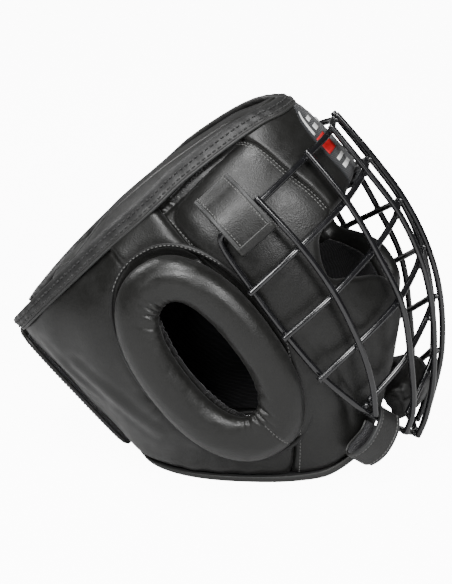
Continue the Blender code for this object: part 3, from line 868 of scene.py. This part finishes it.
def chin():
    u, v = grid(-1, 1, 59, 0, 1, 35)

    def at(depth):
        s = -140 + 34 * v
        front = 104.5 - 24 * u ** 2 - 14 * np.maximum((-120 - s) / 20, 0) ** 2
        front = front - 5 * np.maximum((s + 113) / 7, 0) ** 2
        half = 37.5 - 10 * np.maximum((-120 - s) / 20, 0)
        return world(half * u * (1 - depth / 40), front - depth, s)

    p = at(0.0)
    left, right, low, high = edge_distances(p)
    height = -6.0 * drop(np.minimum(left, right), 9) - 4.0 * drop(low, 8)
    height = height - 4.0 * drop(high, 8) + 0.5 * ripples(p, 4, 30)
    outer = raised(p, height, (0, 0.05, 0.1))
    pad = add_mesh("chin_pad", *closed_grid(outer, at(15.0)), pad_leather, fill=0.7,
                   nodes=("chin_cover", "chin_foam"))
    swell(pad, CHIN_FILLING, 1)


def swept(name, ts, section, side, nodes):
    """A band of closed section (depth, s) swept round the head."""
    rows = []
    for t in ts:
        depth, s = np.array(section(t)).T
        rows.append(shell_world(side, t, s, depth))
    return add_mesh(name, np.concatenate(rows), loop_faces(len(rows), len(rows[0])),
                    band_leather, nodes=nodes)


def rows_on_shell(bvhs, side, lines, *stitch):
    """Rows of stitches along lines (t, s) laid on the surfaces from outside."""
    return [thread_run(*on_shell(bvhs, side, t, s), *stitch) for t, s in lines]


def top_band(side, tag):
    profile = [(0.4, -8.4), (-1.6, -8.2), (-2.7, -7.2), (-3.0, -4.0), (-2.9, -0.5), (-2.2, 1.2),
               (-0.5, 2.0), (2.0, 1.9), (3.8, 1.0), (4.4, -1.5), (4.4, -8.0), (3.0, -8.2),
               (2.4, -1.5), (0.6, -0.4), (-0.4, -2.5)]

    def section(t):
        end = 1 - 0.5 * step(t, 158, 165)
        return [(d - 0.25 * math.sin(t * 0.9), top_edge(t) + h * end) for d, h in profile]

    band = swept(f"top_binding_{tag}_band", np.linspace(0, 165, 220), section, side,
                 (f"top_binding_{tag}",))
    t = np.linspace(1, 162, 500)
    rows = [(t, top_edge(t) + offset) for offset in (-6.0, -2.0)]
    add_parts(f"top_binding_{tag}_stitches",
              rows_on_shell(trees(band), side, rows, *BAND_STITCH), dark_thread)
    t = np.linspace(2, 164, 260)
    piping = tube(shell_world(side, t, top_edge(t) - 8.9, -1.2), 0.0012, 8)
    add_mesh(f"top_binding_{tag}_piping", *piping, band_leather)


def jaw_band(side, tag):
    def section(t):
        low0, low13 = float(jaw_edge(t, -0.5)), float(jaw_edge(t, 13.0))
        return [(-0.4, low0 + 5.6), (-1.3, low0 + 5.0), (-1.6, low0 + 1.6), (-0.9, low0),
                (6.0, (low0 + low13) / 2), (13.0, low13), (14.0, low13 + 2), (13.2, low13 + 5),
                (11.5, low13 + 4.5), (1.0, low0 + 4.5)]

    swept(f"jaw_binding_{tag}_band", np.linspace(52, 168, 160), section, side,
          (f"jaw_binding_{tag}",))


def full_side(angle):
    """How far the ear pad's outline stands outside an ellipse at this angle."""
    return (np.abs(np.cos(angle)) ** FULLNESS + np.abs(np.sin(angle)) ** FULLNESS) ** (-1 / FULLNESS)


def ring_oval(share):
    """Centre and half sizes of the ear pad's oval, from 0 at its opening to 1 at its rim."""
    return [a + (b - a) * share for a, b in zip(EAR_HOLE, EAR_PAD)]


def on_oval(oval, angle):
    cf, cs, half_f, half_s = oval
    square = full_side(angle)
    return cf + half_f * np.cos(angle) * square, cs + half_s * np.sin(angle) * square


def above_shell(side, f, s, rise):
    return world(side * (shell_x(f, s) + rise), f, s)


def pucker(ring, side):
    """Draws the leather of an ear pad together in folds at the ends of its opening."""
    p = corner_points(ring.data) * 1000
    x, back, up = p[:, 0] * side, p[:, 1] - EAR_SETBACK, p[:, 2] - EAR_HEIGHT
    f = up * math.sin(TILT) - back * math.cos(TILT)
    s = up * math.cos(TILT) + back * math.sin(TILT)
    rise = x - shell_x(f, s)
    # The share of the way from the opening to the rim, found by halving.
    low, high = np.full(len(p), -0.2), np.full(len(p), 1.2)
    for _ in range(24):
        share = (low + high) / 2
        cf, cs, half_f, half_s = ring_oval(share)
        u, v = (f - cf) / half_f, (s - cs) / half_s
        a = np.arctan2(v, u)
        outside = np.hypot(u, v) > full_side(a)
        low, high = np.where(outside, share, low), np.where(outside, high, share)
    degrees = np.degrees(a) % 360
    folds = 0
    for centre, reach, number in PUCKERS:
        near = np.exp(-((degrees - centre) / reach) ** 2)
        phase = (degrees - centre) * number * math.tau / 80
        folds = folds + near * (0.7 - np.abs(np.sin(phase / 2 + 0.5 * np.sin(phase / 3))) ** 0.6)
    inner = np.exp(-(np.maximum(share - 0.06, 0) / 0.26) ** 2) * step(rise, -2, 8)
    lift = -3.6 * folds * inner
    lift -= 1.2 * valley((degrees - RING_SEAM) * 0.9, 1.2) * step(rise, 2, 9)
    lift += 0.35 * np.sin(3 * a + 1) * step(rise, 4, 12)
    pull = 1.5 * folds * inner
    moved = world(side * (x + lift), f + pull * np.cos(a), s + pull * np.sin(a))
    move_points(ring.data, moved)


def ear_ring(side, tag):
    profile = smooth_path([(0.93, -5.0), (0.965, -1.0), (0.99, 4.0), (0.965, 9.5), (0.88, 13.4),
                           (0.72, 15.8), (0.49, 16.8), (0.27, 16.1), (0.11, 13.2), (0.02, 8.5),
                           (0.02, 4.0), (0.10, 0.5), (0.25, -2.0), (0.6, -4.0)], 4)[:-1]
    share, rise = profile[:, 0], profile[:, 1]
    count = 300
    a = math.tau * np.arange(count)[:, None] / count
    verts = above_shell(side, *on_oval(ring_oval(share), a), rise).reshape(-1, 3)
    ring = add_mesh(f"ear_pad_{tag}_ring", verts, loop_faces(count, len(profile), True),
                    soft_leather, nodes=(f"ear_pad_{tag}",), fill=0.9)
    swell(ring, RING_FILLING, 2)
    pucker(ring, side)

    # The flange that the pad is sewn to.
    def flange(angles, rise):
        return above_shell(side, *on_oval(FLANGE, angles), rise)

    angles = np.linspace(0, math.tau, 240, endpoint=False)
    # The piping is drawn in the darker leather, painted shade for the groove it lies in.
    piping = tube(flange(angles, -2.7), 0.0021, 10, True)
    add_mesh(f"ear_pad_{tag}_piping", *piping, groove_shade_leather)
    angles = np.radians(np.linspace(36, 122, 150))
    path = flange(angles, -0.6)
    edge = path, path - flange(angles, -2.7)
    # The seam across the pad.
    cf, cs, half_f, half_s = ring_oval(np.linspace(0.30, 0.93, 40))
    f = cf + half_f * math.cos(math.radians(RING_SEAM))
    s = cs + half_s * math.sin(math.radians(RING_SEAM))
    seam = trace(trees(ring), above_shell(side, f, s, 30), above_shell(side, f, s, 0))
    add_parts(f"ear_pad_{tag}_stitches",
              [thread_run(*edge, *FLANGE_STITCH), thread_run(*seam, *RING_STITCH)], grey_thread)


def sewing(side, tag, *pads):
    """Stitch rows on the pads."""
    bvhs = trees(*pads)
    rows = [line([(80.35, 95.5), (80.3, 92), (79.6, 76), (78.6, 62)]),
            line([(72.8, -20), (77.4, -48), (80.4, -69.5), (83.9, -94), (86.7, -108), (90, -121)])]
    parts = rows_on_shell(bvhs, side, rows, *SEAM_STITCH)
    t, s = line([(43.0, 113.8), (42.0, 102), (40.9, 88), (39.8, 74), (37.6, 56), (36.6, 41)])
    parts += rows_on_shell(bvhs, side, [(t, s), (t + 1.3, s)], *FRONT_STITCH)
    add_parts(f"seam_stitches_{tag}", parts, grey_thread)
    t = np.linspace(43, 76.5, 205)
    parts = rows_on_shell(bvhs, side, [(t, patch_top(t) - 1.7)], *TEMPLE_STITCH, ZIGZAG)
    parts += rows_on_shell(bvhs, side, [(t, patch_top(t) + 0.9)], *TEMPLE_STITCH)
    add_parts(f"temple_stitches_{tag}", parts, steel_thread)


def brow_strip(brow):
    reach = smooth_stations([(41, 16.5), (68, 18), (81, 17), (95, 15), (101, 11), (106, 6)])
    tree = trees(brow)[0]

    def sheet(u0, u1, v0, v1, nu, nv, low, high):
        u, v = grid(u0, u1, nu, v0, v1, nv)
        s = 37 + (106 - 37) * v
        t = reach(s) * np.abs(u)
        p = across_world(u, t, s, 0.0)
        n = outward(p)
        base = []
        for q, d in zip(p.reshape(-1, 3), n.reshape(-1, 3)):
            hit = tree.ray_cast(Vector(q + d * 0.012), Vector(-d), 0.03)[0]
            base.append(hit[:] if hit is not None else q)
        base = np.array(base).reshape(p.shape)
        return closed_grid(base + n * high / 1000, base - n * low / 1000)

    add_mesh("brow_band_strip", *sheet(-1, 1, 0.0, 1, 56, 60, 0.3, 0.9), brow_cloth,
             nodes=("brow_band",))
    bars = ((-0.90, -0.80, 0.66, 0.93), (-0.62, -0.30, 0.68, 0.74), (-0.62, -0.30, 0.79, 0.84),
            (0.30, 0.62, 0.68, 0.74), (0.30, 0.62, 0.79, 0.84), (0.80, 0.90, 0.66, 0.93),
            (-0.80, -0.28, 0.20, 0.25), (-0.80, -0.28, 0.30, 0.34))
    add_parts("brow_band_bars", [sheet(*bar, 6, 10, -0.7, 1.15) for bar in bars], white_print)
    add_mesh("brow_band_tab", *sheet(-0.92, -0.36, 0.42, 0.62, 12, 10, -0.7, 1.35), red_print)


# ---- the cage ----

def mirrored(points):
    return [(-x, f, s) for x, f, s in reversed(points) if x > 0] + list(points)


def cage():
    runs = {}
    half = smooth_path(RIM_TOP + RIM_SIDE + RIM_BOTTOM, 10)
    rim = np.vstack([half, [(-x, f, s) for x, f, s in half[::-1] if x > 0.5]])
    runs["cage_rim"] = world(*rim.T)
    for name, points in HOOPS.items():
        ends = list(points)
        if name in ("brow", "eye", "nose"):
            x, f, s = ends[-1]
            ends[-1] = (x + HOOP_END, f - 2, s)
        runs["cage_hoop_" + name] = world(*smooth_path(mirrored(ends), 14).T)
    for name, points in UPRIGHTS.items():
        away = np.array([Vector(p) - Vector((p[0] * 0.2, *UPRIGHT_CENTRE[1:])) for p in points])
        lift = smooth_path(np.array(points) + unit(away) * LIFT, 14)
        for side, tag in ((1, ""),) if name == "centre" else ((1, "_left"), (-1, "_right")):
            runs["cage_upright_" + name + tag] = side_world(side, lift)
    for name, path in runs.items():
        add_mesh(name + "_wire", *tube(path, WIRE / 2000, 16, name == "cage_rim"), wire_enamel,
                 nodes=(name,))
    # Weld beads where two wires pass within reach of each other.
    bm = bmesh.new()
    names = sorted(runs)
    for i, first in enumerate(names):
        for second in names[i + 1:]:
            a, b = runs[first], runs[second]
            gap = np.linalg.norm(a[:, None] - b[None], axis=-1)
            while gap.min() < WELD_REACH:
                j, k = np.unravel_index(gap.argmin(), gap.shape)
                centre = Vector((a[j] + b[k]) / 2)
                axis = Vector(b[k] - a[j]).to_track_quat("Z", "Y").to_matrix().to_4x4()
                made = bmesh.ops.create_icosphere(bm, subdivisions=2, radius=1.0)["verts"]
                for q in made:
                    q.co = centre + axis @ (q.co * Vector(WELD_SIZE))
                near = np.linalg.norm(a - a[j], axis=1)[:, None] < WELD_APART
                gap = np.where(near, 1.0, gap)
    bm.verts.index_update()
    verts = [v.co[:] for v in bm.verts]
    faces = [[v.index for v in face.verts] for face in bm.faces]
    bm.free()
    add_mesh("cage_welds", verts, faces, wire_enamel)


# ---- straps and closure ----

def strap_place(which, side):
    """A function from mm along the bar, down the strap and outwards to places in the world."""
    spec = STRAPS[which]
    along, out = unit(np.array(spec["along"])), unit(np.array(spec["out"]))
    down = unit(np.cross(along, out))
    if (which == "upper" and down[2] > 0) or (which == "lower" and down[1] < 0):
        down = -down
    return lambda w, l, n: side_world(
        side, np.array(spec["bar"]) + np.outer(w, along) + np.outer(l, down) + np.outer(n, out))


def ribbon(name, path, thick, width, place, mat, body, nodes=(), shift=0.0):
    """A strap swept along a path (l, n), with rounded edges, shift mm along its width."""
    fine = smooth_path(path, 8)
    d = unit(np.gradient(fine, axis=0))
    across = np.linspace(-1, 1, 25)
    edge = np.sqrt(np.maximum(1 - np.abs(across) ** 8, 0.05))
    grids = [np.array([place(across * width / 2 + shift, l - dn * off, n + dl * off)
                       for (l, n), (dl, dn) in zip(fine, d)])
             for off in (thick / 2 * edge, -thick / 2 * edge)]
    add_mesh(name, *closed_grid(*grids), mat, body, nodes)
    return grids


def beside(path, gap):
    """The path moved gap mm to its left."""
    fine = smooth_path(path, 3)
    d = unit(np.gradient(fine, axis=0))
    return fine + gap * np.stack([-d[:, 1], d[:, 0]], 1)


def strap(which, side, tag):
    spec = STRAPS[which]
    inwards = 1 if which == "upper" else -1
    name = f"{which}_strap_{tag}"
    width, flap_path = spec["width"], spec["flap"]
    place = strap_place(which, side)
    ribbon(name + "_band", spec["loop"], STRAP_THICK, width, place, strap_leather, "shell",
           (name + "_loop",))
    grids = ribbon(name + "_outer", flap_path, STRAP_THICK, width, place, strap_leather, name,
                   (name + "_flap",))
    for number, edge in ((1, -1), (2, 1)):
        ribbon(f"{name}_trim_{number}", flap_path, STRAP_THICK + 0.9, 3.0, place, trim_leather,
               name, shift=edge * (width / 2 - 1.4))
    ribbon(name + "_hooks", spec["hook"], 0.9, width - 5, place, hooks, name,
           (name + "_hook_pad",))
    # Napped cloth lines the hollow of the loop.
    for end, path, body in (("_nap", spec["loop"], "shell"), ("_lining", flap_path, name)):
        ribbon(name + end, beside(path, inwards * 1.2), 0.5, width - 2.4, place, loops, body)
    # The fold at the hinge line, a small leather roll.
    l, n = flap_path[0]
    roll = place(width * np.linspace(-0.495, 0.495, 30), l + 0.6, n - 0.2)
    add_mesh(name + "_fold", *tube(roll, 0.00135, 12), strap_leather)
    # Sewn trims along both long edges of the flap.
    outer = max(grids, key=lambda g: np.linalg.norm(g.mean((0, 1)) - np.array((0, 0, 0.12))))
    normal = outward(outer)
    parts = [thread_run(outer[:, k], normal[:, k], *STRAP_STITCH) for k in (3, 21)]
    add_parts(name + "_stitches", parts, grey_thread, name)


def closure():
    def patch(name, t0, t1, low, high, outer, inner, mat, body, nodes, bow=0.0, fill=None,
              corner=0.0):
        u, v = grid(0, 1, 60, 0, 1, 60)
        t = t0 + (t1 - t0) * u
        near = np.maximum(corner - (t - t0) * 1.9, 0)
        cut = corner - np.sqrt(np.maximum(corner ** 2 - near ** 2, 0))
        s = (low + cut) + (high - low - 2 * cut) * v
        edge = np.min(edge_distances(shell_world(-1, t, s)), axis=0)
        soft = bow * crown_edge(edge, 5) + 0.5 * (crown_edge(edge, 1.2) - 1)
        layers = shell_world(-1, t, s, outer - soft), shell_world(-1, t, s, inner)
        return add_mesh(name, *closed_grid(*layers), mat, body, nodes, fill)

    patch("closure_loops", 164.5, 173.5, FLAP_LOW + 6, FLAP_HIGH - 6, -1.5, -0.6, loops, "shell",
          ("closure_loop_patch",))
    patch("closure_base", 196.4, 206, FLAP_LOW, FLAP_HIGH, -2.8, -0.6, strap_leather, "shell",
          ("closure_flap_base",))
    t0, t1 = FLAP_RANGE
    flap = patch("closure_outer", t0, t1, FLAP_LOW, FLAP_HIGH, -5.2, -3.1, strap_leather,
                 "closure_flap", ("closure_flap",), 1.0, 0.4, 16.0)
    patch("closure_hooks", 165.5, 173, FLAP_LOW + 7, FLAP_HIGH - 7, -2.9, -1.8, hooks,
          "closure_flap", ("closure_hook_patch",))
    low, high = FLAP_LOW + 1, FLAP_HIGH - 1
    fold = shell_world(-1, t1 + 0.7, np.linspace(low, high, 60), -3.6)
    add_mesh("closure_fold", *tube(fold, 0.0019, 12), strap_leather)
    edge = line([(t1 - 2, low + 3), (t0 + 14, low + 3), (t0 + 5, low + 8), (t0 + 2.0, low + 20),
                 (t0 + 2.0, high - 20), (t0 + 5, high - 8), (t0 + 14, high - 3),
                 (t1 - 2, high - 3)], 400)
    add_parts("closure_stitches", rows_on_shell(trees(flap), -1, [edge], *CLOSURE_STITCH),
              grey_thread, "closure_flap")


# ---- stage ----

def stage():
    mesh = bpy.data.meshes.new("floor")
    mesh.from_pydata([(-8, -8, -0.0002), (8, -8, -0.0002), (8, 8, -0.0002), (-8, 8, -0.0002)], [],
                     [(0, 1, 2, 3)])
    mat, tree, shader, _ = new_material("floor", (0.62, 0.62, 0.62), 0.8, 0.1)
    seen = node(tree, "ShaderNodeLightPath").outputs["Is Camera Ray"]
    glow = node(tree, "ShaderNodeMath", operation="MULTIPLY")
    glow.inputs[1].default_value = FLOOR_GLOW
    tree.links.new(seen, glow.inputs[0])
    fed(tree, shader, Emission_Color=(1, 1, 1, 1), Emission_Strength=glow.outputs[0])
    mesh.materials.append(mat)
    add_object("floor", mesh)
    studio = bpy.data.worlds.new("studio")
    bpy.context.scene.world = studio
    studio.use_nodes = True
    tree = studio.node_tree
    seen = node(tree, "ShaderNodeLightPath").outputs["Is Camera Ray"]
    fed(tree, tree.nodes["Background"], Color=(1, 1, 1, 1),
        Strength=spread(tree, seen, WORLD_LIGHT, FLOOR_GLOW, 0, 1))
    for name, place, target, size, power in LIGHTS:
        light = bpy.data.lights.new(name, "AREA")
        light.energy = power
        light.size = size
        lamp = add_object(name, light)
        lamp.location = place
        aim = Vector(target) - Vector(place)
        lamp.rotation_euler = aim.to_track_quat("-Z", "Y").to_euler()


def camera():
    data = bpy.data.cameras.new("camera")
    data.lens = LENS
    data.sensor_width = SENSOR
    data.sensor_fit = "AUTO"
    obj = add_object("camera", data)
    right, up = Vector(CAMERA_RIGHT), Vector(CAMERA_UP)
    axes = Matrix((right, up, right.cross(up))).transposed()
    obj.matrix_world = Matrix.Translation(CAMERA_PLACE) @ axes.to_4x4()
    bpy.context.scene.camera = obj


camera()
stage()
brow = forehead()
for side, tag in SIDES:
    panel = side_pad(side, tag)
    face = face_pad(side, tag)
    top_band(side, tag)
    jaw_band(side, tag)
    ear_ring(side, tag)
    sewing(side, tag, face, panel, brow)
    for which in STRAPS:
        strap(which, side, tag)
brow_strip(brow)
crown()
chin()
cage()
closure()

for name, (body, nodes, fill) in pieces.items():
    piece = bpy.data.objects[name]
    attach(piece, body)
    if nodes:
        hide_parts(*nodes)
